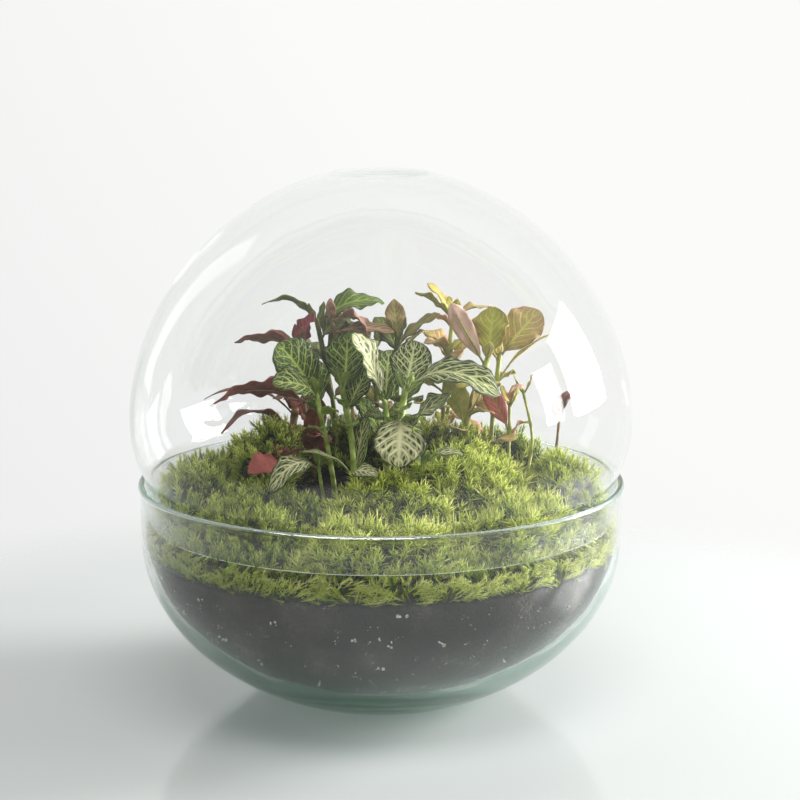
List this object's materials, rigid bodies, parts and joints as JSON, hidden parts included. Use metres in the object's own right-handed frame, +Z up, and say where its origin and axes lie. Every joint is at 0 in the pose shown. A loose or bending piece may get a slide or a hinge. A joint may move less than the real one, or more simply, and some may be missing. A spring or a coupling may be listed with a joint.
{
  "type": "glass plant terrarium",
  "caption": "Closed glass terrarium: a bowl of soil, moss and veined nerve plants under a ball-shaped glass lid.",
  "frame": {"origin": "middle of the bowl's flat base, on the surface it stands on", "axes": "+Z up through the middle of bowl and lid, +X to the right and +Y away, seen from the front"},
  "size_m": [0.3006, 0.3006, 0.3165],
  "materials": {
    "glass": "polished",
    "soil": "matte",
    "moss_dark": "matte",
    "moss_light": "matte",
    "white_veined_leaf": "satin",
    "red_leaf": "satin",
    "green_leaf": "satin",
    "pink_leaf": "satin",
    "olive_leaf": "satin"
  },
  "bodies": {
    "root": {"glass_bowl": "glass", "glass_lid": "glass", "potting_soil": "soil", "moss_edge_right": "moss_light", "moss_edge_back_right": "moss_dark", "moss_edge_back": "moss_dark", "moss_edge_back_left": "moss_dark", "moss_edge_left": "moss_dark", "moss_edge_front_left": "moss_dark", "moss_edge_front": "moss_light", "moss_edge_front_right": "moss_light", "moss_mound_left": "moss_dark", "moss_mound_back": "moss_dark", "moss_mound_right": "moss_light", "moss_front_right": "moss_light", "moss_front": "moss_light", "moss_front_left": "moss_dark", "white_nerve_stem_1": "white_veined_leaf", "white_nerve_stem_2": "white_veined_leaf", "white_nerve_stem_3": "white_veined_leaf", "white_nerve_stem_4": "white_veined_leaf", "white_nerve_stem_5": "white_veined_leaf", "white_nerve_stem_6": "white_veined_leaf", "red_nerve_stem_1": "red_leaf", "red_nerve_stem_2": "red_leaf", "red_nerve_stem_3": "red_leaf", "red_nerve_stem_4": "red_leaf", "red_nerve_stem_5": "red_leaf", "green_nerve_stem_1": "green_leaf", "green_nerve_stem_2": "green_leaf", "green_nerve_stem_3": "green_leaf", "pink_nerve_stem": "pink_leaf", "olive_nerve_stem_1": "olive_leaf", "olive_nerve_stem_2": "olive_leaf", "olive_nerve_stem_3": "olive_leaf", "olive_nerve_stem_4": "olive_leaf", "olive_nerve_stem_5": "olive_leaf", "olive_nerve_stem_6": "olive_leaf"}
  },
  "joints": []
}
